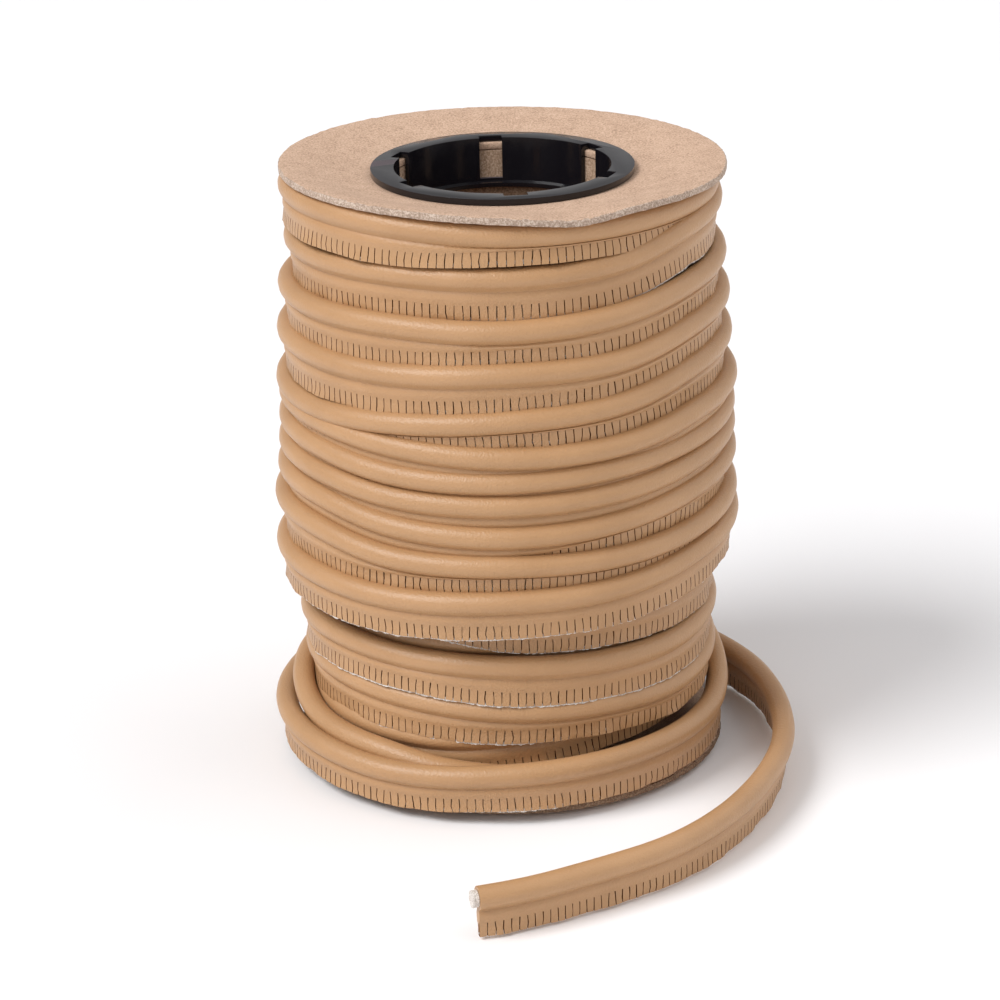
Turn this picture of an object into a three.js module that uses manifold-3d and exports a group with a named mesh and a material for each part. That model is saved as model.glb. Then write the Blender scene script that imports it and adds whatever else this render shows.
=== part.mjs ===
// A reel of vinyl-covered piping trim: a bead with a flat flange, wound in a helix round a
// cardboard reel with black plastic hub inserts. The last stretch lies loose on the floor.
// Millimetres, +Z up. The reel stands upright with its axis on Z, its base at z = 0, and the
// side that faces the viewer at -Y. The strand runs from right to left across the front.
import * as THREE from 'three';
import { mergeVertices } from 'three/addons/utils/BufferGeometryUtils.js';
import Module from 'manifold-3d';

// Reel
const discRadius = 76;
const discThickness = 2.4;
const gap = 0.3;
const rimRadius = 44.9;
const rimThickness = 2;
const hubBore = 37;
const hubWall = 1.5;
const hubDepth = 17;
const ledgeWidth = 3;
const ledgeThickness = 1.5;
const slotCount = 6;
const slotWidth = 8;
const slotDepth = 14.5;
const slotReach = 2.6;
const hubSides = 72;
const discSides = 60;
const slotTurn = 6;
const tubeWall = 4;
const discTop = 207.9;
const flatRadius = rimRadius + 1;
const edgeLift = 3.5;
const edgeSag = 0.6;
const edgeWave = 0.3;
const sagAzimuth = 0.45;
const sagWidth = 0.35;
const reelHeight = discTop + gap + rimThickness;
const holeRadius = hubBore + hubWall + gap;
const tubeRadius = holeRadius + tubeWall;
const lowerDiscBottom = rimThickness + gap;

// Piping
const pipingWidth = 18.6;
const beadDiameter = 8.2;
const flangeThickness = 2.2;
const fillerDiameter = 5.6;
const fillerLength = 2;
const woundFloor = lowerDiscBottom + discThickness + gap;
const woundTop = discTop - discThickness - gap;
const layerRadius = 70;
const shoulderRadius = 65;
const beadFlat = 0.3;
const beadUpper = 0.26;
const beadLower = 0.72;
const leastFlange = 0.5;

// One row for each turn, from the top: height of the bead's top where the turn crosses the
// right, the front and the left, and the bead's outer radius at the right and the left.
const turns = [
  { right: 207.6, front: 207.6, left: 206.5, radiusRight: 73.5, radiusLeft: 74 },
  { right: 201.0, front: 195.8, left: 194.2, radiusRight: 74.1, radiusLeft: 74.7 },
  { right: 184.2, front: 178.4, left: 177.6, radiusRight: 76.2, radiusLeft: 77.7 },
  { right: 170.1, front: 164.4, left: 161.4, radiusRight: 77.3, radiusLeft: 78.7 },
  { right: 156.2, front: 148.4, left: 145.0, radiusRight: 78.1, radiusLeft: 79.5 },
  { right: 141.1, front: 136.0, left: 138.0, radiusRight: 79.9, radiusLeft: 78.9 },
  { right: 131.0, front: 127.5, left: 129.5, radiusRight: 79.2, radiusLeft: 79.2 },
  { right: 123.0, front: 119.4, left: 121.0, radiusRight: 79.3, radiusLeft: 79.6 },
  { right: 113.5, front: 108.4, left: 111.5, radiusRight: 79.7, radiusLeft: 80.3 },
  { right: 99.5, front: 98.6, left: 101.0, radiusRight: 80.1, radiusLeft: 81.7 },
  { right: 90.5, front: 86.4, left: 84.9, radiusRight: 80.6, radiusLeft: 82.5 },
  { right: 70.0, front: 67.5, left: 65.0, radiusRight: 74.5, radiusLeft: 73.0 },
  { right: 57.8, front: 59.5, left: 60.3, radiusRight: 73.2, radiusLeft: 74.5 },
  { right: 40.0, front: 41.0, left: 42.0, radiusRight: 74.9, radiusLeft: 74.8 },
  { right: 33.0, front: 24.6, left: 23.6, radiusRight: 76.9, radiusLeft: 83.0 },
];
const exitHeight = 23.6;
const exitRadius = 81.1;
const exitAzimuth = 153;
const azimuthSteps = 48;

// Loose end: centre of the upright strip, from the roll round the right side to the front
const looseFloor = 0.2;
const looseRoute = [
  { x: 40.2, y: 66.2, z: 5.0 },
  { x: 50.4, y: 60.0, z: 5.0 },
  { x: 61.3, y: 53.2, z: 4.4 },
  { x: 71.8, y: 45.8, z: 1.8 },
  { x: 81.0, y: 35.4, z: looseFloor },
  { x: 88.0, y: 20.5, z: looseFloor },
  { x: 92.3, y: 4.0, z: looseFloor },
  { x: 94.6, y: -14.0, z: looseFloor },
  { x: 95.0, y: -32.0, z: looseFloor },
  { x: 93.0, y: -49.0, z: looseFloor },
  { x: 88.6, y: -65.0, z: looseFloor },
  { x: 81.5, y: -83.0, z: looseFloor },
  { x: 71.5, y: -102.0, z: looseFloor },
  { x: 58.5, y: -119.0, z: looseFloor },
  { x: 44.5, y: -131.5, z: looseFloor },
  { x: 29.5, y: -140.5, z: looseFloor },
  { x: 15.0, y: -149.0, z: looseFloor },
  { x: 1.0, y: -156.5, z: looseFloor },
  { x: -12.5, y: -160.5, z: looseFloor },
];
const looseSteps = 60;

const vinyl = new THREE.MeshStandardMaterial({ color: 0xcda578, roughness: 0.5, metalness: 0 });
const cardboard = new THREE.MeshStandardMaterial({ color: 0xd7b496, roughness: 0.95, metalness: 0 });
const blackPlastic = new THREE.MeshStandardMaterial({ color: 0x151417, roughness: 0.25, metalness: 0 });
const cotton = new THREE.MeshStandardMaterial({ color: 0xeeeae2, roughness: 1, metalness: 0 });

const wasm = await Module();
wasm.setup();

function toSolid(geometry) {
  const bare = geometry.clone();
  bare.deleteAttribute('normal');
  bare.deleteAttribute('uv');
  const merged = mergeVertices(bare, 1e-4);
  return new wasm.Manifold(new wasm.Mesh({
    numProp: 3,
    vertProperties: new Float32Array(merged.attributes.position.array),
    triVerts: new Uint32Array(merged.index.array),
  }));
}

function toGeometry(solid) {
  const mesh = solid.getMesh();
  const geometry = new THREE.BufferGeometry();
  geometry.setAttribute('position', new THREE.BufferAttribute(new Float32Array(mesh.vertProperties), 3));
  geometry.setIndex(new THREE.BufferAttribute(new Uint32Array(mesh.triVerts), 1));
  geometry.computeVertexNormals();
  return geometry;
}

// Turned round Z from radius and height pairs that close on themselves
function turned(profile, segments) {
  const points = profile.map(([radius, height]) => new THREE.Vector2(radius, height));
  points.push(points[0].clone());
  return new THREE.LatheGeometry(points, segments).rotateX(Math.PI / 2);
}

function addMesh(group, name, geometry, material) {
  const mesh = new THREE.Mesh(geometry, material);
  mesh.name = name;
  group.add(mesh);
}

function smooth(value) {
  const t = Math.min(1, Math.max(0, value));
  return t * t * (3 - 2 * t);
}

// The upper disc is pushed up at its edge by the top turn and sags a little at its front right
function discLift(x, y) {
  const radius = Math.hypot(x, y);
  const azimuth = Math.atan2(x, -y);
  const rise = smooth((radius - flatRadius) / (discRadius - flatRadius));
  const sag = edgeSag * Math.exp(-(((azimuth - sagAzimuth) / sagWidth) ** 2));
  return rise * (edgeLift - sag + edgeWave * Math.cos(3 * azimuth + 0.8));
}

function upperDiscGeometry() {
  const low = discTop - discThickness;
  const radii = [holeRadius, flatRadius, 54, 63, discRadius];
  const top = radii.map((radius) => [radius, discTop]).reverse();
  const bottom = radii.map((radius) => [radius, low]);
  const geometry = turned([...bottom, ...top], discSides);
  const place = geometry.attributes.position;
  for (let i = 0; i < place.count; i += 1) {
    place.setZ(i, place.getZ(i) + discLift(place.getX(i), place.getY(i)));
  }
  geometry.computeVertexNormals();
  return geometry;
}

function lowerDiscGeometry() {
  const top = lowerDiscBottom + discThickness;
  return turned([
    [holeRadius, lowerDiscBottom],
    [discRadius, lowerDiscBottom],
    [discRadius, top],
    [holeRadius, top],
  ], discSides);
}

function coreTubeGeometry() {
  return turned([
    [holeRadius, woundFloor],
    [tubeRadius, woundFloor],
    [tubeRadius, woundTop],
    [holeRadius, woundTop],
  ], discSides);
}

// Rim, wall and inward ledge, with its top face at height 0, and slots through wall and rim edge
function hubSolid() {
  const outer = hubBore + hubWall;
  const body = toSolid(turned([
    [hubBore - ledgeWidth, -hubDepth],
    [outer, -hubDepth],
    [outer, -rimThickness],
    [rimRadius, -rimThickness],
    [rimRadius, 0],
    [hubBore, 0],
    [hubBore, -hubDepth + ledgeThickness],
    [hubBore - ledgeWidth, -hubDepth + ledgeThickness],
  ], hubSides));
  let hub = body;
  for (let i = 0; i < slotCount; i += 1) {
    const slot = new THREE.BoxGeometry(slotWidth, 2 * slotReach, slotDepth + 1);
    slot.translate(0, hubBore + 0.5, -slotDepth / 2 + 0.5);
    slot.rotateZ(THREE.MathUtils.degToRad(slotTurn + (360 / slotCount) * i));
    hub = hub.subtract(toSolid(slot));
  }
  return hub;
}

function upperHubGeometry(hub) {
  return toGeometry(hub).translate(0, 0, reelHeight);
}

function lowerHubGeometry(hub) {
  return toGeometry(hub).rotateX(Math.PI);
}

// Value of a column of the turns' table at an unrolled angle along the strand, in degrees
function alongStrand(knots, angle) {
  let i = 0;
  while (i < knots.length - 2 && angle > knots[i + 1][0]) {
    i += 1;
  }
  const slopeAt = (k) => {
    const before = knots[Math.max(0, k - 1)];
    const after = knots[Math.min(knots.length - 1, k + 1)];
    return (after[1] - before[1]) / (after[0] - before[0]);
  };
  const [startAngle, start] = knots[i];
  const [endAngle, end] = knots[i + 1];
  const span = endAngle - startAngle;
  const t = Math.min(1, Math.max(0, (angle - startAngle) / span));
  const curve = (2 * t ** 3 - 3 * t ** 2 + 1) * start + (3 * t ** 2 - 2 * t ** 3) * end;
  return curve + span * ((t ** 3 - 2 * t ** 2 + t) * slopeAt(i) + (t ** 3 - t ** 2) * slopeAt(i + 1));
}

const lastAngle = 360 * turns.length - exitAzimuth;
const topKnots = turns.flatMap((turn, i) => [
  [360 * i - 60, turn.right],
  [360 * i, turn.front],
  [360 * i + 60, turn.left],
]);
const radiusKnots = turns.flatMap((turn, i) => [
  [360 * i - 60, turn.radiusRight],
  [360 * i + 60, turn.radiusLeft],
]);
topKnots.push([lastAngle, exitHeight]);
radiusKnots.push([lastAngle, exitRadius]);

// Section of one turn where the strand is at an unrolled angle: bead, groove and flange
function turnSection(angle) {
  const topHeight = alongStrand(topKnots, angle);
  const radius = alongStrand(radiusKnots, angle);
  if (angle > lastAngle) {
    return [3, 2.5, 2, 1.5, 1].map((height) => [layerRadius, woundFloor + height]);
  }
  const nextTop = angle + 360 > lastAngle ? woundFloor : alongStrand(topKnots, angle + 360);
  const bottom = Math.max(topHeight - pipingWidth, nextTop + gap, woundFloor + gap);
  const groove = Math.max(topHeight - beadDiameter, bottom + leastFlange);
  const bead = topHeight - groove;
  const flangeRadius = radius - (beadDiameter - flangeThickness) / 2;
  return [
    [radius - beadDiameter / 2, topHeight],
    [radius - beadFlat, topHeight - beadUpper * bead],
    [radius - beadFlat, topHeight - beadLower * bead],
    [flangeRadius, groove],
    [flangeRadius, bottom],
  ];
}

// One hollow body of the wound turns. Each column of points crosses the turns at one azimuth.
// The strand drops by one turn each time round, so the last column joins the first one turn on.
function woundGeometry() {
  const sectionSize = 5;
  const innerRadius = tubeRadius + gap;
  const crossings = Array.from({ length: turns.length + 1 }, (unused, k) => k);
  const columns = [];
  const positions = [];
  const pointAt = (azimuth, radius, height) => {
    positions.push(radius * Math.sin(azimuth), -radius * Math.cos(azimuth), height);
    return positions.length / 3 - 1;
  };
  for (let i = 0; i < azimuthSteps; i += 1) {
    const degrees = -180 + (360 * i) / azimuthSteps;
    const azimuth = THREE.MathUtils.degToRad(degrees);
    const outline = crossings.flatMap((crossing) => turnSection(360 * crossing - degrees));
    columns.push({
      innerTop: pointAt(azimuth, innerRadius, woundTop),
      outerTop: pointAt(azimuth, shoulderRadius, woundTop),
      outer: outline.map(([radius, height]) => pointAt(azimuth, radius, height)),
      outerBottom: pointAt(azimuth, layerRadius, woundFloor),
      innerBottom: pointAt(azimuth, innerRadius, woundFloor),
    });
  }
  const faces = [];
  const quad = (a, b, c, d) => faces.push(a, b, c, a, c, d);
  for (let i = 0; i < azimuthSteps; i += 1) {
    const here = columns[i];
    const next = columns[(i + 1) % azimuthSteps];
    const drop = i === azimuthSteps - 1 ? sectionSize : 0;
    const last = here.outer.length - 1;
    quad(here.innerTop, here.outerTop, next.outerTop, next.innerTop);
    for (let j = 0; j < drop; j += 1) {
      faces.push(here.outer[j], here.outer[j + 1], next.outerTop);
    }
    faces.push(here.outerTop, here.outer[0], next.outerTop);
    faces.push(here.outer[drop], next.outer[0], next.outerTop);
    for (let j = 0; j < last - drop; j += 1) {
      quad(here.outer[j + drop], here.outer[j + drop + 1], next.outer[j + 1], next.outer[j]);
    }
    for (let j = last - drop; j < last; j += 1) {
      faces.push(here.outerBottom, next.outer[j + 1], next.outer[j]);
    }
    faces.push(here.outer[last], here.outerBottom, next.outer[last - drop]);
    faces.push(here.outerBottom, next.outerBottom, next.outer[last]);
    quad(here.outerBottom, here.innerBottom, next.innerBottom, next.outerBottom);
    quad(here.innerBottom, here.innerTop, next.innerTop, next.innerBottom);
  }
  const geometry = new THREE.BufferGeometry();
  geometry.setAttribute('position', new THREE.Float32BufferAttribute(positions, 3));
  geometry.setIndex(faces);
  geometry.computeVertexNormals();
  return geometry;
}

// Keyhole section with its middle at half the piping's width. X of the shape points down.
function pipingShape() {
  const beadSides = 8;
  const beadRadius = beadDiameter / 2;
  const beadMiddle = beadRadius - pipingWidth / 2;
  const side = flangeThickness / 2;
  const neck = Math.asin(side / beadRadius);
  const shape = new THREE.Shape();
  shape.moveTo(pipingWidth / 2, -side);
  shape.lineTo(pipingWidth / 2, side);
  for (let i = 0; i <= beadSides; i += 1) {
    const angle = neck + ((2 * Math.PI - 2 * neck) * i) / beadSides;
    shape.lineTo(beadMiddle + beadRadius * Math.cos(angle), beadRadius * Math.sin(angle));
  }
  shape.closePath();
  return shape;
}

function looseEndGeometry(curve) {
  return new THREE.ExtrudeGeometry(pipingShape(), {
    extrudePath: curve,
    steps: looseSteps,
    bevelEnabled: false,
  });
}

// The cotton filler that shows past the cut, in the middle of the bead
function fillerGeometry(curve) {
  const end = curve.getPointAt(1);
  const direction = curve.getTangentAt(1);
  const filler = new THREE.CylinderGeometry(fillerDiameter / 2, fillerDiameter / 2, fillerLength, 12);
  filler.rotateZ(-Math.PI / 2);
  filler.rotateZ(Math.atan2(direction.y, direction.x));
  const middle = end.addScaledVector(direction, gap + fillerLength / 2);
  return filler.translate(middle.x, middle.y, looseFloor + pipingWidth - beadDiameter / 2);
}

const looseCurve = new THREE.CatmullRomCurve3(
  looseRoute.map(({ x, y, z }) => new THREE.Vector3(x, y, z + pipingWidth / 2)),
);

const hub = hubSolid();
const reel = new THREE.Group();
addMesh(reel, 'lower_disc', lowerDiscGeometry(), cardboard);
addMesh(reel, 'upper_disc', upperDiscGeometry(), cardboard);
addMesh(reel, 'core_tube', coreTubeGeometry(), cardboard);
addMesh(reel, 'upper_hub', upperHubGeometry(hub), blackPlastic);
addMesh(reel, 'lower_hub', lowerHubGeometry(hub), blackPlastic);
addMesh(reel, 'wound_piping', woundGeometry(), vinyl);
addMesh(reel, 'loose_end', looseEndGeometry(looseCurve), vinyl);
addMesh(reel, 'filler_end', fillerGeometry(looseCurve), cotton);

export default reel;
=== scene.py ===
import bisect
import math
import bpy
import bmesh
from mathutils import Euler, Matrix, Vector


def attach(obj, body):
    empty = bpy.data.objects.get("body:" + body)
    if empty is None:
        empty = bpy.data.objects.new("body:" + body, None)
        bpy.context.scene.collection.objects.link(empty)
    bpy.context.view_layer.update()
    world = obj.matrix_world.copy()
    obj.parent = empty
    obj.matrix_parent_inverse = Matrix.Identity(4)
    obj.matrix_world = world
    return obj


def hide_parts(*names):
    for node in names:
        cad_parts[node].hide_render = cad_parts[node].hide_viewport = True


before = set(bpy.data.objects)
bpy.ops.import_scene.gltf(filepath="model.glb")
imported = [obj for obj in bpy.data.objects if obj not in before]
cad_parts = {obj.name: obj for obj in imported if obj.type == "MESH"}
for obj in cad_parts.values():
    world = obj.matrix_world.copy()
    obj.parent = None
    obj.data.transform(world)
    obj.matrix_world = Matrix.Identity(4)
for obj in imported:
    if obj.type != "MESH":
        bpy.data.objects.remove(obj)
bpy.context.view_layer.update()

mm = 0.001

# the camera stands where the photograph's stood, worked out from the outlines of the discs
cameraPlace = {"x": -3.1, "y": -1125.0, "z": 506.5, "elevation": 20.37, "roll": -1.15,
               "lens": 122.87, "sensor": 36.0}

# the strand's section and its slits, in mm; edge is the white backing at the foot, and the last two give the
# thickness and offset of a dark sheet behind the slits, painted shade that stands in for the shadow inside
# them
piping = {"bead": 7.8, "beadSides": 16, "width": 18.0, "flange": 2.0, "footTaper": 0.9,
          "pitch": 2.7, "slit": 0.33, "slitLength": 5.4, "edge": 1.1, "edgeThickness": 1.2,
          "shadeSheet": 0.3, "shadeSheetShift": -0.1}
# the flange under the bead: depth below the bead's middle, and half its thickness there
ridge = [{"depth": 4.3, "half": 1.2}, {"depth": 5.5, "half": 1.7}, {"depth": 7.1, "half": 1.6}]
beadRadius = piping["bead"] / 2
slitTop = beadRadius + piping["slitLength"] - piping["width"]
foot = beadRadius - piping["width"]

# bead tops of the outer turns, from the top of the reel: heights at 60 and 30 degrees to the right,
# at the front, and at 30 and 60 degrees to the left, then the bead's outer radius on both sides,
# and how far the flange leans out at its foot, in degrees
outerTurns = [
    {"right": (208.8, 209.0), "front": 209.2, "left": (211.0, 211.2), "radius": (73.4, 76.4), "lean": 10},
    {"right": (202.0, 196.4), "front": 194.8, "left": (194.6, 193.2), "radius": (74.4, 75.0), "lean": 2},
    {"right": (183.2, 179.4), "front": 177.4, "left": (177.7, 176.6), "radius": (76.2, 77.7), "lean": 1},
    {"right": (169.1, 164.1), "front": 163.4, "left": (161.3, 160.4), "radius": (77.3, 78.7), "lean": 1},
    {"right": (155.2, 149.6), "front": 147.4, "left": (144.6, 142.4), "radius": (78.1, 79.5), "lean": 0},
    {"right": (140.1, 135.9), "front": 135.0, "left": (136.6, 138.0), "radius": (79.9, 78.9), "lean": -6},
    {"right": (130.0, 128.2), "front": 126.5, "left": (126.6, 129.0), "radius": (79.2, 79.2), "lean": -6},
    {"right": (122.3, 119.7), "front": 118.4, "left": (118.7, 120.4), "radius": (79.3, 79.6), "lean": -6},
    {"right": (112.8, 109.2), "front": 107.4, "left": (108.6, 112.0), "radius": (79.7, 80.3), "lean": -6},
    {"right": (98.5, 97.0), "front": 97.6, "left": (97.8, 101.1), "radius": (80.1, 81.7), "lean": -4},
    {"right": (90.0, 86.6), "front": 85.4, "left": (83.9, 83.9), "radius": (80.6, 82.5), "lean": 0},
    {"right": (74.6, 75.6), "front": 77.0, "left": (77.0, 73.0), "radius": (73.5, 71.5), "lean": 0},
    {"right": (56.8, 57.2), "front": 58.7, "left": (59.6, 59.5), "radius": (73.2, 74.5), "lean": 5},
    {"right": (39.4, 40.8), "front": 41.8, "left": (43.6, 44.0), "radius": (72.5, 72.6), "lean": 2},
    {"right": (23.8, 23.4), "front": 22.4, "left": (20.4, 21.2), "radius": (78.0, 84.6), "lean": 1},
]
outerExit = {"azimuth": 147.2, "height": 23.5, "radius": 81.3}
# the lowest turn climbs in behind the others at the far right
climbs = [{"turn": 14, "azimuth": 80, "height": 25.4}, {"turn": 14, "azimuth": 98, "height": 31.4},
          {"turn": 14, "azimuth": 120, "height": 38.5}]

# how wide each turn stands, from bead top to foot, at the right, the front and the left, where 0
# ends it just behind the next bead, and how much of its white backing shows at the foot there
outerFlanges = [
    {"width": (13.6, 14.2, 17.3), "white": (0, 0, 0.5)},
    {"width": (17.6, 18.0, 18.0), "white": (1, 1, 0)},
    {"width": (0, 0, 0), "white": (0, 0, 0)},
    {"width": (0, 0, 0), "white": (0, 0, 0)},
    {"width": (0, 0, 0), "white": (0, 0, 0)},
    {"width": (16.0, 17.0, 17.0), "white": (0, 0, 0)},
    {"width": (17.0, 17.0, 17.0), "white": (0, 0, 0)},
    {"width": (17.0, 17.0, 17.0), "white": (0, 0, 0)},
    {"width": (0, 16.0, 17.0), "white": (0, 0, 0)},
    {"width": (0, 0, 0), "white": (0, 0, 0)},
    {"width": (17.4, 17.2, 17.2), "white": (0.8, 0.95, 0.9)},
    {"width": (17.6, 17.9, 13.2), "white": (0.8, 0.9, 1)},
    {"width": (17.4, 18.0, 16.4), "white": (1, 1, 1)},
    {"width": (15.0, 16.0, 17.4), "white": (0, 1, 1)},
    {"width": (18.0, 17.2, 16.8), "white": (0, 1, 0)},
]
leastWidth = 13.2
behindBead = 1.0

# the layer under them, seen in the gaps, and how its lowest turn drops across the front
innerTurns = {"count": 12, "top": 203.0, "bottom": 37.8, "radius": 68.3, "lean": 2}
innerDrop = [
    {"azimuth": 60, "height": 38.6, "radius": 68.3}, {"azimuth": 30, "height": 37.0, "radius": 68.3},
    {"azimuth": 5, "height": 32.5, "radius": 68.3}, {"azimuth": -25, "height": 29.0, "radius": 69.6},
    {"azimuth": -60, "height": 28.6, "radius": 71.0}, {"azimuth": -110, "height": 28.0, "radius": 70.0},
]

# another turn comes out at the left, between that one and the lowest outer turn
lowTurnEnds = {"first": -10, "last": 175}
lowTurn = [
    {"azimuth": 10, "height": 18.0, "radius": 71.5},
    {"azimuth": 0, "height": 18.2, "radius": 73.5},
    {"azimuth": -14, "height": 20.4, "radius": 76.0},
    {"azimuth": -24, "height": 22.0, "radius": 77.4},
    {"azimuth": -32, "height": 24.2, "radius": 78.0},
    {"azimuth": -43, "height": 25.0, "radius": 78.4},
    {"azimuth": -53, "height": 25.4, "radius": 78.6},
    {"azimuth": -64, "height": 26.2, "radius": 78.8},
    {"azimuth": -76, "height": 29.0, "radius": 78.8},
    {"azimuth": -90, "height": 32.0, "radius": 78.0},
    {"azimuth": -130, "height": 35.0, "radius": 75.5},
    {"azimuth": -175, "height": 36.0, "radius": 70.0},
]

# the foot of the loose end, from where it leaves the roll at the back to its cut end
looseRoute = [
    (40.2, 66.2, 5.0), (50.4, 60.0, 5.0), (61.3, 53.2, 4.4), (71.8, 45.8, 1.8), (81.0, 35.4, 0.2),
    (88.0, 20.5, 0.2), (92.3, 4.0, 0.2), (94.6, -14.0, 0.2), (95.0, -32.0, 0.2), (93.0, -49.0, 0.2),
    (88.6, -65.0, 0.2), (81.5, -83.0, 0.2), (71.5, -102.0, 0.2), (58.5, -119.0, 0.2),
    (44.5, -131.5, 0.2), (29.5, -140.5, 0.2), (15.0, -149.0, 0.2), (1.0, -156.5, 0.2),
    (-12.5, -160.5, 0.2),
]
# the backing shows fully on the first points of that route, and partly on the rest
looseBacking = {"points": 8, "rest": 0.35, "clearance": 0.5}

# every winding is a row of points, so many degrees apart; it starts at these angles
winding = {"step": 7.5, "outset": 0.2, "outerStart": -200, "innerStart": -40}


def addCamera():
    p = cameraPlace
    bpy.ops.object.camera_add(location=(p["x"] * mm, p["y"] * mm, p["z"] * mm))
    camera = bpy.context.active_object
    tip = Euler((math.radians(90 - p["elevation"]), 0, 0)).to_matrix()
    roll = Matrix.Rotation(math.radians(p["roll"]), 3, "Z")
    camera.rotation_euler = (tip @ roll).to_euler()
    camera.data.lens = p["lens"]
    camera.data.sensor_width = p["sensor"]
    camera.data.clip_start = 0.05
    bpy.context.scene.camera = camera


studio = {"keyTurn": -62, "keyHeight": 48, "keyPower": 2.35, "keySpread": 30,
          "fillTurn": 96, "fillHeight": 36, "fillPower": 1.0, "fillSpread": 80,
          "boxPlace": (-0.5, -1.0, 0.9), "boxTarget": (0, 0, 0.1), "boxPower": 3.0, "boxSize": 0.7,
          "world": 0.41, "worldColour": (1, 0.99, 1, 1), "floorSize": 30,
          "floorColour": (0.93, 0.925, 0.935, 1), "floorRoughness": 0.6}


def aimAt(lamp, place, target):
    lamp.rotation_euler = (Vector(target) - Vector(place)).to_track_quat("-Z", "Y").to_euler()


def addSun(name, turn, height, power, spread):
    turn, height = math.radians(turn), math.radians(height)
    place = (math.sin(turn) * math.cos(height), -math.cos(turn) * math.cos(height), math.sin(height))
    bpy.ops.object.light_add(type="SUN", location=place)
    sun = bpy.context.active_object
    sun.name = name
    sun.data.energy = power
    sun.data.angle = math.radians(spread)
    aimAt(sun, place, (0, 0, 0))


def addStudio():
    p = studio
    addSun("keyLight", p["keyTurn"], p["keyHeight"], p["keyPower"], p["keySpread"])
    addSun("fillLight", p["fillTurn"], p["fillHeight"], p["fillPower"], p["fillSpread"])
    bpy.ops.object.light_add(type="AREA", location=p["boxPlace"])
    soft = bpy.context.active_object
    soft.name = "softBox"
    soft.data.energy = p["boxPower"]
    soft.data.size = p["boxSize"]
    aimAt(soft, p["boxPlace"], p["boxTarget"])
    world = bpy.data.worlds.new("paleStudio")
    bpy.context.scene.world = world
    world.use_nodes = True
    background = world.node_tree.nodes["Background"]
    background.inputs["Color"].default_value = p["worldColour"]
    background.inputs["Strength"].default_value = p["world"]
    bpy.ops.mesh.primitive_plane_add(size=p["floorSize"])
    floor = bpy.context.active_object
    floor.name = "floor"
    floor.data.materials.append(floorMaterial())
    bpy.context.scene.view_settings.view_transform = "Standard"


# materials

def newMaterial(name):
    material = bpy.data.materials.new(name)
    material.use_nodes = True
    nodes = material.node_tree.nodes
    return material, nodes, material.node_tree.links, nodes["Principled BSDF"]


def finishShader(shader, roughness, specular):
    shader.inputs["Roughness"].default_value = roughness
    shader.inputs["Specular IOR Level"].default_value = specular


def addNoise(nodes, links, scale, detail):
    place = nodes.new("ShaderNodeTexCoord")
    noise = nodes.new("ShaderNodeTexNoise")
    noise.inputs["Scale"].default_value = scale
    noise.inputs["Detail"].default_value = detail
    links.new(place.outputs["Object"], noise.inputs["Vector"])
    return noise


def floorMaterial():
    material, _, _, shader = newMaterial("paleFloor")
    shader.inputs["Base Color"].default_value = studio["floorColour"]
    shader.inputs["Roughness"].default_value = studio["floorRoughness"]
    return material


def makeGrainGroup():
    # fine pebbled grain: a height and a slow tone that change over the surface
    group = bpy.data.node_groups.new("vinylGrain", "ShaderNodeTree")
    for label, value in (("Scale", 900.0), ("Tone Scale", 30.0)):
        socket = group.interface.new_socket(label, in_out="INPUT", socket_type="NodeSocketFloat")
        socket.default_value = value
    group.interface.new_socket("Height", in_out="OUTPUT", socket_type="NodeSocketFloat")
    group.interface.new_socket("Tone", in_out="OUTPUT", socket_type="NodeSocketFloat")
    nodes, links = group.nodes, group.links
    entry = nodes.new("NodeGroupInput")
    result = nodes.new("NodeGroupOutput")
    place = nodes.new("ShaderNodeTexCoord")
    cells = nodes.new("ShaderNodeTexVoronoi")
    cells.feature = "SMOOTH_F1"
    cells.inputs["Smoothness"].default_value = 0.6
    fine = nodes.new("ShaderNodeTexNoise")
    fine.inputs["Detail"].default_value = 4
    slow = nodes.new("ShaderNodeTexNoise")
    slow.inputs["Detail"].default_value = 3
    mix = nodes.new("ShaderNodeMath")
    mix.operation = "MULTIPLY_ADD"
    mix.inputs[1].default_value = 0.7
    for texture, source in ((cells, "Scale"), (fine, "Scale"), (slow, "Tone Scale")):
        links.new(place.outputs["Object"], texture.inputs["Vector"])
        links.new(entry.outputs[source], texture.inputs["Scale"])
    links.new(cells.outputs["Distance"], mix.inputs[0])
    links.new(fine.outputs["Fac"], mix.inputs[2])
    links.new(mix.outputs[0], result.inputs["Height"])
    links.new(slow.outputs["Fac"], result.inputs["Tone"])
    return group


def addBump(nodes, links, shader, height, strength, distance):
    bump = nodes.new("ShaderNodeBump")
    bump.inputs["Strength"].default_value = strength
    bump.inputs["Distance"].default_value = distance
    links.new(height, bump.inputs["Height"])
    links.new(bump.outputs["Normal"], shader.inputs["Normal"])


def addRamp(nodes, links, value, stops):
    ramp = nodes.new("ShaderNodeValToRGB")
    while len(ramp.color_ramp.elements) < len(stops):
        ramp.color_ramp.elements.new(0.5)
    for element, (position, colour) in zip(ramp.color_ramp.elements, stops):
        element.position = position
        element.color = (*colour, 1)
    links.new(value, ramp.inputs["Fac"])
    return ramp.outputs["Color"]


vinylLook = {"scale": 1400, "toneScale": 40, "deep": (0.432, 0.240, 0.110), "pale": (0.478, 0.270, 0.128),
             "roughness": 0.42, "specular": 0.55, "bump": 0.5, "bumpHeight": 0.00028}


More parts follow.
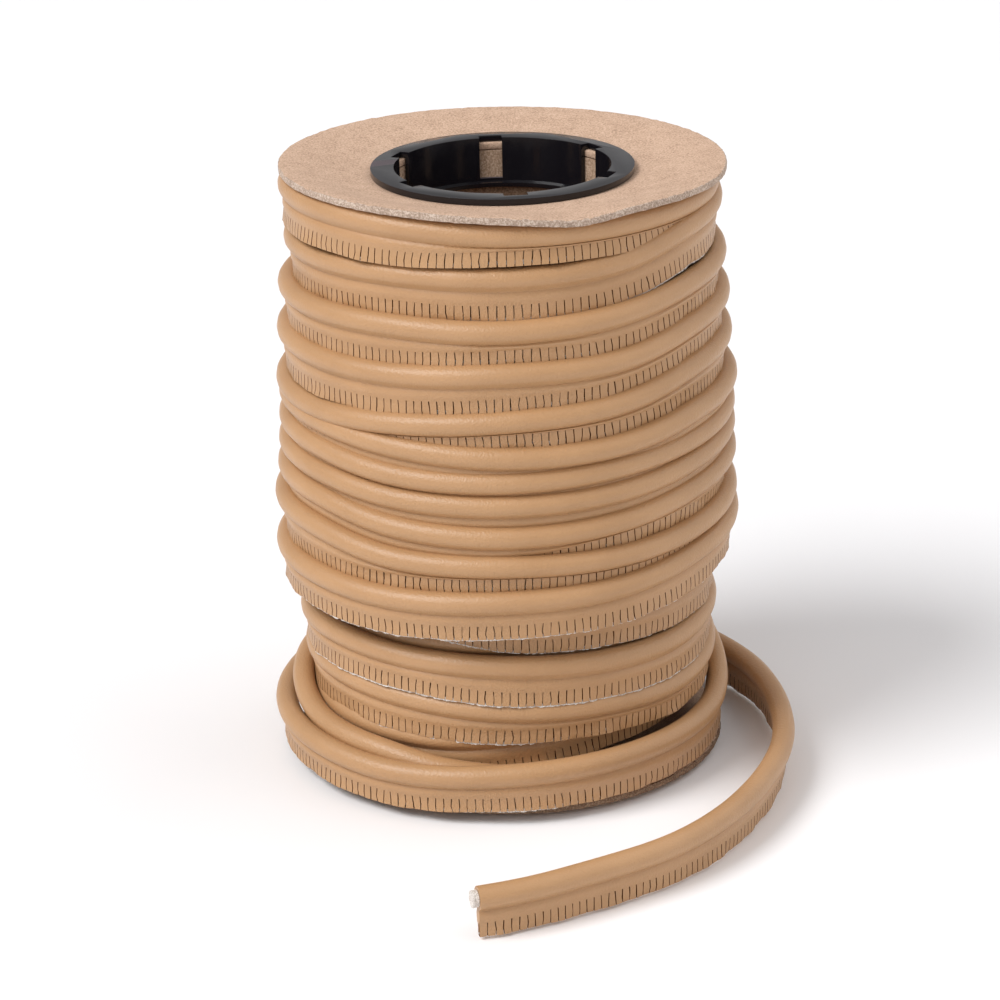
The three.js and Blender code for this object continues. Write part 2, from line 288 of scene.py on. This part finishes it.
def vinylMaterial(grain):
    p = vinylLook
    material, nodes, links, shader = newMaterial("tanVinyl")
    grainNode = nodes.new("ShaderNodeGroup")
    grainNode.node_tree = grain
    grainNode.inputs["Scale"].default_value = p["scale"]
    grainNode.inputs["Tone Scale"].default_value = p["toneScale"]
    colour = addRamp(nodes, links, grainNode.outputs["Tone"], [(0.3, p["deep"]), (0.7, p["pale"])])
    links.new(colour, shader.inputs["Base Color"])
    finishShader(shader, p["roughness"], p["specular"])
    addBump(nodes, links, shader, grainNode.outputs["Height"], p["bump"], p["bumpHeight"])
    return material


# painted shade: the dark sheet behind the slits and the cut faces in them, coloured much darker than the
# vinyl's face to stand in for the shadow inside the slits
slitShadeLook = {"toneScale": 300, "deep": (0.065, 0.017, 0.004), "pale": (0.13, 0.042, 0.012),
            "roughness": 0.9, "specular": 0.0}


def slitShadeMaterial(grain):
    p = slitShadeLook
    material, nodes, links, shader = newMaterial("slitShade")
    grainNode = nodes.new("ShaderNodeGroup")
    grainNode.node_tree = grain
    grainNode.inputs["Tone Scale"].default_value = p["toneScale"]
    colour = addRamp(nodes, links, grainNode.outputs["Tone"], [(0.35, p["deep"]), (0.65, p["pale"])])
    links.new(colour, shader.inputs["Base Color"])
    finishShader(shader, p["roughness"], p["specular"])
    return material


backingLook = {"scale": 2200, "detail": 4, "deep": (0.42, 0.36, 0.31), "pale": (0.8, 0.75, 0.70),
               "roughness": 0.95, "bump": 0.6, "bumpHeight": 0.0002}


def backingMaterial():
    p = backingLook
    material, nodes, links, shader = newMaterial("whiteBacking")
    threads = addNoise(nodes, links, p["scale"], p["detail"])
    colour = addRamp(nodes, links, threads.outputs["Fac"], [(0.35, p["deep"]), (0.6, p["pale"])])
    links.new(colour, shader.inputs["Base Color"])
    shader.inputs["Roughness"].default_value = p["roughness"]
    addBump(nodes, links, shader, threads.outputs["Fac"], p["bump"], p["bumpHeight"])
    return material


# speckled board: fine fibres over slow blotches, with flecks darker than its tone
boardLook = {"fibreScale": 1500, "fibreDetail": 3, "fibreRoughness": 0.7, "blotchScale": 160,
             "blotchDetail": 4, "blotchShare": 0.2, "fleck": 0.66, "roughness": 0.92,
             "specular": 0.25, "bump": 0.6, "bumpHeight": 0.0003}


def cardboardMaterial(name, tone, light):
    p = boardLook
    material, nodes, links, shader = newMaterial(name)
    fibre = addNoise(nodes, links, p["fibreScale"], p["fibreDetail"])
    fibre.inputs["Roughness"].default_value = p["fibreRoughness"]
    blotch = addNoise(nodes, links, p["blotchScale"], p["blotchDetail"])
    mix = nodes.new("ShaderNodeMath")
    mix.operation = "MULTIPLY_ADD"
    mix.inputs[1].default_value = p["blotchShare"]
    links.new(blotch.outputs["Fac"], mix.inputs[0])
    links.new(fibre.outputs["Fac"], mix.inputs[2])
    dark = tuple(p["fleck"] * c for c in tone)
    colour = addRamp(nodes, links, mix.outputs[0], [(0.44, dark), (0.58, tone), (0.74, light)])
    links.new(colour, shader.inputs["Base Color"])
    finishShader(shader, p["roughness"], p["specular"])
    addBump(nodes, links, shader, fibre.outputs["Fac"], p["bump"], p["bumpHeight"])
    return material


plasticLook = {"hazeScale": 180, "hazeDetail": 5, "specular": 0.45, "bump": 0.15, "bumpHeight": 0.0001}


def blackPlasticMaterial(name, colour, smoothest, roughest):
    p = plasticLook
    material, nodes, links, shader = newMaterial(name)
    haze = addNoise(nodes, links, p["hazeScale"], p["hazeDetail"])
    rough = nodes.new("ShaderNodeMapRange")
    rough.inputs["From Min"].default_value = 0.35
    rough.inputs["From Max"].default_value = 0.65
    rough.inputs["To Min"].default_value = smoothest
    rough.inputs["To Max"].default_value = roughest
    links.new(haze.outputs["Fac"], rough.inputs["Value"])
    links.new(rough.outputs["Result"], shader.inputs["Roughness"])
    shader.inputs["Base Color"].default_value = (*colour, 1)
    shader.inputs["Specular IOR Level"].default_value = p["specular"]
    addBump(nodes, links, shader, haze.outputs["Fac"], p["bump"], p["bumpHeight"])
    return material


# small tools for edit mode

def makeActive(obj):
    bpy.ops.object.select_all(action="DESELECT")
    obj.select_set(True)
    bpy.context.view_layer.objects.active = obj


def editOnly(obj):
    makeActive(obj)
    bpy.ops.object.mode_set(mode="EDIT")
    bpy.ops.mesh.select_mode(type="FACE")
    bpy.ops.mesh.select_all(action="DESELECT")


def pickFaces(obj, test):
    mesh = bmesh.from_edit_mesh(obj.data)
    for face in mesh.faces:
        face.select_set(False)
    chosen = [face for face in mesh.faces if test(face.calc_center_median(), face.normal)]
    for face in chosen:
        face.select_set(True)
    bmesh.update_edit_mesh(obj.data)


# cuts the faces that pass the test by planes across the strand
def cutAcross(obj, places, test):
    for place in places:
        pickFaces(obj, test)
        bpy.ops.mesh.bisect(plane_co=(place * mm, 0, 0), plane_no=(1, 0, 0))


def leaveEdit():
    bpy.ops.object.mode_set(mode="OBJECT")


def applyAll(obj):
    makeActive(obj)
    for modifier in list(obj.modifiers):
        bpy.ops.object.modifier_apply(modifier=modifier.name)


def smoothByAngle(obj, degrees):
    makeActive(obj)
    bpy.ops.object.shade_smooth_by_angle(angle=math.radians(degrees))


def addBevel(obj, width, segments, degrees):
    bevel = obj.modifiers.new("bevel", "BEVEL")
    bevel.width = width * mm
    bevel.segments = segments
    bevel.limit_method = "ANGLE"
    bevel.angle_limit = math.radians(degrees)


def moveSelected(x, y, z):
    bpy.ops.transform.translate(value=(x * mm, y * mm, z * mm))


# the chosen faces go down to a depth below the bead's middle, as thick as asked
def stepDown(obj, depth, half):
    bpy.ops.mesh.extrude_region()
    chosen = [v for v in bmesh.from_edit_mesh(obj.data).verts if v.select]
    wide = max(abs(v.co.y) for v in chosen) / mm
    bpy.ops.transform.resize(value=(1, half / wide, 0))
    level = next(v.co.z for v in bmesh.from_edit_mesh(obj.data).verts if v.select) / mm
    moveSelected(0, 0, -depth - level)


# one slit's length of the piping: bead, soft ridge and flange, with a tab between two half slits.
# X runs along the strand, Y outwards and Z up, with the bead's middle at the origin
def makeSegment(name, materials):
    p = piping
    half = p["flange"] / 2
    middle = p["pitch"] / 2
    side = p["slit"] / 2
    stripTop = foot + p["edge"]
    stripHalf = p["edgeThickness"] / 2
    bpy.ops.mesh.primitive_cylinder_add(vertices=p["beadSides"], radius=beadRadius * mm,
                                        depth=p["pitch"] * mm, end_fill_type="NOTHING",
                                        rotation=(0, math.pi / 2, 0), location=(middle * mm, 0, 0))
    segment = bpy.context.active_object
    segment.name = name
    bpy.ops.object.transform_apply(location=True, rotation=True, scale=True)
    editOnly(segment)
    pickFaces(segment, lambda c, n: n.z < -0.9)
    for step in ridge:
        stepDown(segment, step["depth"], step["half"])
    stepDown(segment, -slitTop, half)
    # open ends, so that neighbours join
    pickFaces(segment, lambda c, n: abs(n.x) > 0.9)
    bpy.ops.mesh.delete(type="FACE")
    # the tab: the middle of the flange's lower face goes down
    def isUnder(c, n):
        return n.z < -0.9 and c.z < (slitTop + 0.1) * mm

    cutAcross(segment, (side, p["pitch"] - side), isUnder)
    pickFaces(segment, lambda c, n: isUnder(c, n) and side * mm < c.x < (p["pitch"] - side) * mm)
    stepDown(segment, -(slitTop + foot) / 2, half)
    stepDown(segment, -foot - 0.5, half * p["footTaper"])
    # a dark sheet between the two layers shows through the slits: painted shade for the shadow inside them
    bpy.ops.mesh.select_all(action="DESELECT")
    shadeSheetHeight = slitTop - foot - 0.4
    shadeSheetMiddle = slitTop + 0.2 - shadeSheetHeight / 2
    bpy.ops.mesh.primitive_cube_add(size=1, scale=(p["pitch"] * mm, p["shadeSheet"] * mm, shadeSheetHeight * mm),
                                    location=(middle * mm, p["shadeSheetShift"] * mm, shadeSheetMiddle * mm))
    bpy.ops.mesh.select_mode(type="FACE")
    # a frayed strip of white backing runs along the foot
    bpy.ops.mesh.select_all(action="DESELECT")
    bpy.ops.mesh.primitive_cube_add(size=1, location=(middle * mm, 0, (foot + p["edge"] / 2) * mm),
                                    scale=(p["pitch"] * mm, p["edgeThickness"] * mm, p["edge"] * mm))
    cutAcross(segment, [share * p["pitch"] for share in (0.25, 0.5, 0.75)],
              lambda c, n: c.z < (stripTop + 0.01) * mm and abs(n.x) < 0.5
              and abs(c.y) < (stripHalf + 0.01) * mm)
    pickFaces(segment, lambda c, n: abs(n.x) > 0.9 and c.z < slitTop * mm
              and not side * mm * 0.9 < c.x < (p["pitch"] - side * 0.9) * mm)
    bpy.ops.mesh.delete(type="FACE")
    leaveEdit()
    for material in materials:
        segment.data.materials.append(material)
    markSegment(segment, stripTop, stripHalf)
    return segment


# names the points of tabs, foot and backing for what follows, and gives the faces their materials
def markSegment(segment, stripTop, stripHalf):
    points = segment.data.vertices
    strip = set()
    for face in segment.data.polygons:
        thick = max(abs(points[i].co.y) for i in face.vertices)
        high = max(points[i].co.z for i in face.vertices)
        if (thick < (stripHalf + 0.01) * mm and face.center.z < (stripTop + 0.01) * mm
                and high < (stripTop + 0.02) * mm):
            strip.update(face.vertices)
    shadeSheet = set()
    for point in points:
        fromMiddle = abs(point.co.y - piping["shadeSheetShift"] * mm)
        onShadeSheet = abs(fromMiddle - piping["shadeSheet"] / 2 * mm) < 0.01 * mm
        if onShadeSheet and point.index not in strip and point.co.z < (slitTop + 0.25) * mm:
            shadeSheet.add(point.index)
    tabs = [v.index for v in points
            if v.index not in strip and v.index not in shadeSheet and v.co.z < (slitTop + 0.05) * mm]
    lowest = [i for i in tabs if points[i].co.z < (foot + 1) * mm]
    for label, chosen in (("slits", tabs), ("foot", lowest), ("fray", list(strip))):
        segment.vertex_groups.new(name=label).add(chosen, 1, "REPLACE")
    # the cut faces of the slits and the dark sheet behind them get the third material, painted shade
    for face in segment.data.polygons:
        isCut = abs(face.normal.x) > 0.7 and face.center.z < slitTop * mm
        if all(i in strip for i in face.vertices):
            face.material_index = 1
        elif isCut or all(i in shadeSheet for i in face.vertices):
            face.material_index = 2


def addNoiseShift(obj, name, direction, group, strength, cloud):
    texture = bpy.data.textures.new(name, "CLOUDS")
    texture.noise_scale = cloud
    shift = obj.modifiers.new(name, "DISPLACE")
    shift.texture = texture
    shift.texture_coords = "LOCAL"
    shift.direction = direction
    shift.strength = strength
    shift.mid_level = 0.5
    shift.vertex_group = group


def makeRouteCurve(name, points, tilts):
    bpy.ops.curve.primitive_nurbs_path_add()
    route = bpy.context.active_object
    route.name = name
    data = route.data
    data.splines.clear()
    spline = data.splines.new("NURBS")
    spline.points.add(len(points) - 1)
    for point, place, tilt in zip(spline.points, points, tilts):
        point.co = (place[0] * mm, place[1] * mm, place[2] * mm, 1)
        point.tilt = math.radians(tilt)
    spline.order_u = 4
    spline.use_endpoint_u = True
    spline.resolution_u = 4
    data.twist_mode = "Z_UP"
    return route


def valueAlong(places, values, place):
    i = min(len(places) - 1, max(1, bisect.bisect(places, place)))
    t = min(1, max(0, (place - places[i - 1]) / (places[i] - places[i - 1])))
    return values[i - 1] + (values[i] - values[i - 1]) * t


# a tight turn's flange is drawn up under its bead, and its backing is hidden where it doesn't show
hiding = {"lift": 1.2, "thin": 0.7}


def drawUp(run, places, widths, whites):
    neck = -0.9 * beadRadius
    fray = run.vertex_groups["fray"].index
    for vertex in run.data.vertices:
        depth = vertex.co.z / mm
        if depth < neck:
            place = vertex.co.x / mm
            spare = piping["width"] - valueAlong(places, widths, place)
            lift = spare * min(1, (neck - depth) / (neck - slitTop))
            if any(g.group == fray for g in vertex.groups):
                hidden = 1 - valueAlong(places, whites, place)
                lift += hiding["lift"] * hidden
                vertex.co.y *= 1 - hiding["thin"] * min(1, max(0, hidden))
            vertex.co.z += lift * mm


# slits that aren't quite even and a foot that waves, from clouds of these sizes in metres
unevenness = [
    {"name": "SlitSway", "direction": "X", "group": "slits", "strength": 0.0011, "cloud": 0.0024},
    {"name": "FootFlare", "direction": "Y", "group": "foot", "strength": 0.0022, "cloud": 0.011},
    {"name": "FrayDown", "direction": "Z", "group": "fray", "strength": 0.0012, "cloud": 0.0012},
    {"name": "FrayOut", "direction": "Y", "group": "fray", "strength": 0.0022, "cloud": 0.011},
]


# a run of piping along a curve, from one length along it to another; widths and whites belong to
# the places along that curve
def makeRun(name, route, start, end, materials, places, widths, whites):
    run = makeSegment(name, materials)
    first = round(start / piping["pitch"])
    count = round(end / piping["pitch"]) - first
    editOnly(run)
    bpy.ops.mesh.select_all(action="SELECT")
    moveSelected(first * piping["pitch"], 0, 0)
    leaveEdit()
    row = run.modifiers.new("row", "ARRAY")
    row.count = count
    row.use_relative_offset = False
    row.use_constant_offset = True
    row.constant_offset_displace = (piping["pitch"] * mm, 0, 0)
    row.use_merge_vertices = True
    row.merge_threshold = 0.00002
    applyAll(run)
    editOnly(run)
    bpy.ops.mesh.select_all(action="SELECT")
    bpy.ops.mesh.fill_holes(sides=0)
    leaveEdit()
    drawUp(run, places, widths, whites)
    for row in unevenness:
        addNoiseShift(run, name + row["name"], row["direction"], row["group"], row["strength"], row["cloud"])
    along = run.modifiers.new("along", "CURVE")
    along.object = route
    along.deform_axis = "POS_X"
    applyAll(run)
    smoothByAngle(run, 40)
    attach(run, "root")
    return run


# a smooth curve through the knots, each an angle and a value
def easeBetween(knots, angle):
    i = 0
    while i < len(knots) - 2 and angle > knots[i + 1][0]:
        i += 1

    def slope(k):
        before = knots[max(0, k - 1)]
        after = knots[min(len(knots) - 1, k + 1)]
        return (after[1] - before[1]) / (after[0] - before[0])

    span = knots[i + 1][0] - knots[i][0]
    t = min(1, max(0, (angle - knots[i][0]) / span))
    value = (2 * t ** 3 - 3 * t ** 2 + 1) * knots[i][1] + (3 * t ** 2 - 2 * t ** 3) * knots[i + 1][1]
    return value + span * ((t ** 3 - 2 * t ** 2 + t) * slope(i) + (t ** 3 - t ** 2) * slope(i + 1))


def windingPoints(heights, radii, leans, firstAngle, lastAngle):
    count = math.ceil((lastAngle - firstAngle) / winding["step"])
    points = []
    tilts = []
    for i in range(count + 1):
        angle = firstAngle + (lastAngle - firstAngle) * i / count
        azimuth = -math.radians(angle)
        radius = easeBetween(radii, angle) - beadRadius + winding["outset"]
        height = easeBetween(heights, angle) - beadRadius
        points.append((radius * math.sin(azimuth), -radius * math.cos(azimuth), height))
        tilts.append(easeBetween(leans, angle))
    return points, tilts


# lengths along the route at which its points lie
def routePlaces(route, points):
    places = [0]
    for a, b in zip(points, points[1:]):
        places.append(places[-1] + (Vector(b) - Vector(a)).length)
    whole = route.data.splines[0].calc_length() / mm
    return [place * whole / places[-1] for place in places]


def turnTops(turn):
    return (*turn["right"], turn["front"], *turn["left"])


def addOuterWinding(materials):
    heights, radii, leans, widths, whites = [], [], [], [], []
    first = winding["outerStart"]
    last = 360 * len(outerTurns) - outerExit["azimuth"]
    for k, turn in enumerate(outerTurns):
        below = outerTurns[min(k + 1, len(outerTurns) - 1)]
        flange = outerFlanges[k]
        heights += [(360 * k - climb["azimuth"], climb["height"]) for climb in climbs if climb["turn"] == k]
        for angle, top, nextTop, side in zip((-60, -30, 0, 30, 60), turnTops(turn), turnTops(below),
                                             (0, 0, 1, 2, 2)):
            heights.append((360 * k + angle, top))
            wanted = flange["width"][side] or max(leastWidth, top - nextTop + behindBead)
            widths.append((360 * k + angle, min(wanted, piping["width"])))
            whites.append((360 * k + angle, flange["white"][side]))
        radii += [(360 * k - 60, turn["radius"][0]), (360 * k + 60, turn["radius"][1])]
        leans.append((360 * k, turn["lean"]))
    heights = sorted(heights)
    # it leaves the roll as the loose end begins
    heights.append((last, outerExit["height"]))
    radii.append((last, outerExit["radius"]))
    leans.append((last, 0))
    widths.append((last, piping["width"]))
    whites.append((last, 1))
    points, tilts = windingPoints(heights, radii, leans, first, last)
    route = makeRouteCurve("outerRoute", points, tilts)
    places = routePlaces(route, points)
    angles = [first + (last - first) * i / (len(points) - 1) for i in range(len(points))]
    stands = [easeBetween(widths, angle) for angle in angles]
    shows = [easeBetween(whites, angle) for angle in angles]
    whole = places[-1]
    for i in range(3):
        makeRun(f"outerTurns{i + 1}", route, whole * i / 3, whole * (i + 1) / 3, materials,
                            places, stands, shows)
    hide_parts("wound_piping")
    bpy.data.objects.remove(route)


def addInnerWinding(materials):
    p = innerTurns
    first = winding["innerStart"]
    drop = (p["top"] - p["bottom"]) / p["count"]
    heights = [(360 * k, p["top"] - drop * k) for k in range(p["count"])]
    heights += [(360 * p["count"] - row["azimuth"], row["height"]) for row in innerDrop]
    last = heights[-1][0]
    radii = [(first, p["radius"])]
    radii += [(360 * p["count"] - row["azimuth"], row["radius"]) for row in innerDrop]
    points, tilts = windingPoints(heights, radii, [(first, p["lean"]), (last, p["lean"])], first, last)
    route = makeRouteCurve("innerRoute", points, tilts)
    whole = routePlaces(route, points)[-1]
    for i in range(2):
        run = makeRun(f"innerTurns{i + 1}", route, whole * i / 2, whole * (i + 1) / 2, materials,
                      [0, whole], [piping["width"]] * 2, [0, 0])
    bpy.data.objects.remove(route)
    print("inner winding done, length in mm:", round(whole))


def addLowTurn(materials):
    first, last = lowTurnEnds["first"], lowTurnEnds["last"]
    columns = {key: [(-row["azimuth"], row[key]) for row in lowTurn] for key in ("height", "radius")}
    points, tilts = windingPoints(columns["height"], columns["radius"], [(first, 0), (last, 0)], first, last)
    route = makeRouteCurve("lowRoute", points, tilts)
    places = routePlaces(route, points)
    narrow = [leastWidth] * len(places)
    run = makeRun("lowTurn", route, 0, places[-1], materials, places, narrow, [0] * len(places))
    bpy.data.objects.remove(route)
    print("low turn done, length in mm:", round(places[-1]))


def addLooseEnd(materials):
    p = looseBacking
    lift = piping["width"] - beadRadius + p["clearance"]
    points = [(x, y, z + lift) for x, y, z in looseRoute]
    route = makeRouteCurve("looseRoute", points, [0] * len(points))
    places = routePlaces(route, points)
    whole = places[-1]
    whites = [1 if i < p["points"] else p["rest"] for i in range(len(places))]
    run = makeRun("looseRun", route, 0, whole, materials, places, [piping["width"]] * len(places), whites)
    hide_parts("loose_end")
    bpy.data.objects.remove(route)
    print("loose end done, length in mm:", round(whole))


# how far the upper disc's edge is pushed up by the turns under it, round the reel
discEdge = [
    {"azimuth": -180, "lift": 3.8}, {"azimuth": -120, "lift": 4.6}, {"azimuth": -75, "lift": 5.6},
    {"azimuth": -50, "lift": 6.0}, {"azimuth": -30, "lift": 5.9}, {"azimuth": -12, "lift": 5.2},
    {"azimuth": 2, "lift": 4.3}, {"azimuth": 10, "lift": 3.4}, {"azimuth": 18, "lift": 2.5},
    {"azimuth": 25, "lift": 3.1}, {"azimuth": 32, "lift": 4.1}, {"azimuth": 45, "lift": 4.4},
    {"azimuth": 70, "lift": 3.7}, {"azimuth": 120, "lift": 3.6}, {"azimuth": 180, "lift": 3.8},
]
# heights are of the discs' middles; lift starts outside the flat part under the hub's rim, and fuzz
# is in metres
disc = {"radius": 76.0, "lowerRadius": 74.6, "thickness": 2.4, "upperMiddle": 206.7, "lowerMiddle": 3.5,
        "hole": 38.8, "flat": 45.9, "sides": 240, "rings": (0.8, 1.6, 3, 5, 6, 6, 7.7), "soften": 0.5,
        "fuzz": 0.0006, "fuzzyEdge": 0.9, "cutEdge": 0.35}
cutShifts = [
    {"name": "Fuzz", "direction": "Z", "cloud": 0.0016},
    {"name": "Nibble", "direction": "X", "cloud": 0.002},
    {"name": "Nibbles", "direction": "Y", "cloud": 0.0023},
]


def discLift(x, y):
    radius = math.hypot(x, y) / mm
    rise = min(1, max(0, (radius - disc["flat"]) / (disc["radius"] - disc["flat"])))
    knots = [(row["azimuth"], row["lift"]) for row in discEdge]
    azimuth = math.degrees(math.atan2(x, -y))
    return rise * rise * (3 - 2 * rise) * easeBetween(knots, azimuth) * mm


def addDisc(name, middle, radius, materials, lifted):
    p = disc
    bpy.ops.mesh.primitive_cylinder_add(vertices=p["sides"], radius=radius * mm, depth=p["thickness"] * mm,
                                        end_fill_type="NGON", location=(0, 0, middle * mm))
    board = bpy.context.active_object
    board.name = name
    bpy.ops.object.transform_apply(location=True, rotation=True, scale=True)
    editOnly(board)
    pickFaces(board, lambda c, n: abs(n.z) > 0.9)
    for ring in p["rings"]:
        bpy.ops.mesh.inset(thickness=ring * mm)
    rest = radius - p["hole"] - sum(p["rings"])
    bpy.ops.mesh.inset(thickness=rest * mm)
    bpy.ops.mesh.delete(type="FACE")
    bpy.ops.mesh.select_mode(type="EDGE")
    bpy.ops.mesh.select_non_manifold()
    bpy.ops.mesh.bridge_edge_loops()
    leaveEdit()
    addBevel(board, p["soften"], 2, 40)
    applyAll(board)
    edge = [v.index for v in board.data.vertices if v.co.xy.length > (radius - p["fuzzyEdge"]) * mm]
    board.vertex_groups.new(name="rim").add(edge, 1, "REPLACE")
    for row in cutShifts:
        addNoiseShift(board, name + row["name"], row["direction"], "rim", p["fuzz"], row["cloud"])
    applyAll(board)
    if lifted:
        for vertex in board.data.vertices:
            vertex.co.z += discLift(vertex.co.x, vertex.co.y)
    for material in materials:
        board.data.materials.append(material)
    for face in board.data.polygons:
        if face.center.xy.length > (radius - p["cutEdge"]) * mm:
            face.material_index = 1
    smoothByAngle(board, 35)
    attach(board, "root")
    return board


# a hub's copy gets rounded edges, and a duller finish on its flat rim, whose lighter grey colour is partly
# painted reflection of the sky
hubFinish = {"rounding": 0.7, "rimInner": 37}


def addHub(node, materials):
    makeActive(bpy.data.objects[node])
    bpy.ops.object.duplicate()
    hub = bpy.context.active_object
    hub.name = node + "Moulded"
    hub.data.materials.clear()
    editOnly(hub)
    bpy.ops.mesh.select_all(action="SELECT")
    bpy.ops.mesh.remove_doubles(threshold=0.00001)
    bpy.ops.mesh.dissolve_limited(angle_limit=math.radians(1))
    leaveEdit()
    addBevel(hub, hubFinish["rounding"], 3, 30)
    applyAll(hub)
    for material in materials:
        hub.data.materials.append(material)
    for face in hub.data.polygons:
        if abs(face.normal.z) > 0.95 and face.center.xy.length > hubFinish["rimInner"] * mm:
            face.material_index = 1
    smoothByAngle(hub, 35)
    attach(hub, "root")
    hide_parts(node)


print("frame loaded:", sorted(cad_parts))
addCamera()
addStudio()
print("camera and studio done")
grain = makeGrainGroup()
vinyl = vinylMaterial(grain)
backing = backingMaterial()
slitShade = slitShadeMaterial(grain)
cardboard = cardboardMaterial("kraftCardboard", (0.545, 0.365, 0.256), (0.66, 0.47, 0.35))
cutBoard = cardboardMaterial("cutCardboard", (0.41, 0.30, 0.23), (0.62, 0.51, 0.42))
# the lower disc's cut edge: a much darker cardboard, painted shade for the shadow under the lowest turn
shadedEdgeBoard = cardboardMaterial("shadedEdgeCardboard", (0.20, 0.125, 0.08), (0.36, 0.25, 0.17))
tubeBoard = cardboardMaterial("tubeCardboard", (0.43, 0.28, 0.185), (0.62, 0.46, 0.34))
glossyPlastic = blackPlasticMaterial("glossyPlastic", (0.007, 0.006, 0.008), 0.08, 0.2)
# the flat rim's black plastic: its satin roughness is real, its grey colour is partly a painted reflection
# of the sky
satinSheenPlastic = blackPlasticMaterial("satinSheenPlastic", (0.085, 0.068, 0.074), 0.66, 0.78)
print("materials done")
pipingFinish = [vinyl, backing, slitShade]
addOuterWinding(pipingFinish)
addInnerWinding(pipingFinish)
addLowTurn(pipingFinish)
addLooseEnd(pipingFinish)
upperBoard = addDisc("upperBoard", disc["upperMiddle"], disc["radius"], [cardboard, cutBoard], True)
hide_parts("upper_disc")
# its cut edge gets the painted shade cardboard
lowerBoard = addDisc("lowerBoard", disc["lowerMiddle"], disc["lowerRadius"], [cardboard, shadedEdgeBoard], False)
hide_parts("lower_disc")
print("discs done")
for node in ("upper_hub", "lower_hub"):
    addHub(node, [glossyPlastic, satinSheenPlastic])
for node, material in (("core_tube", tubeBoard), ("filler_end", backing)):
    part = bpy.data.objects[node]
    part.data.materials.clear()
    part.data.materials.append(material)
print("reel finished")
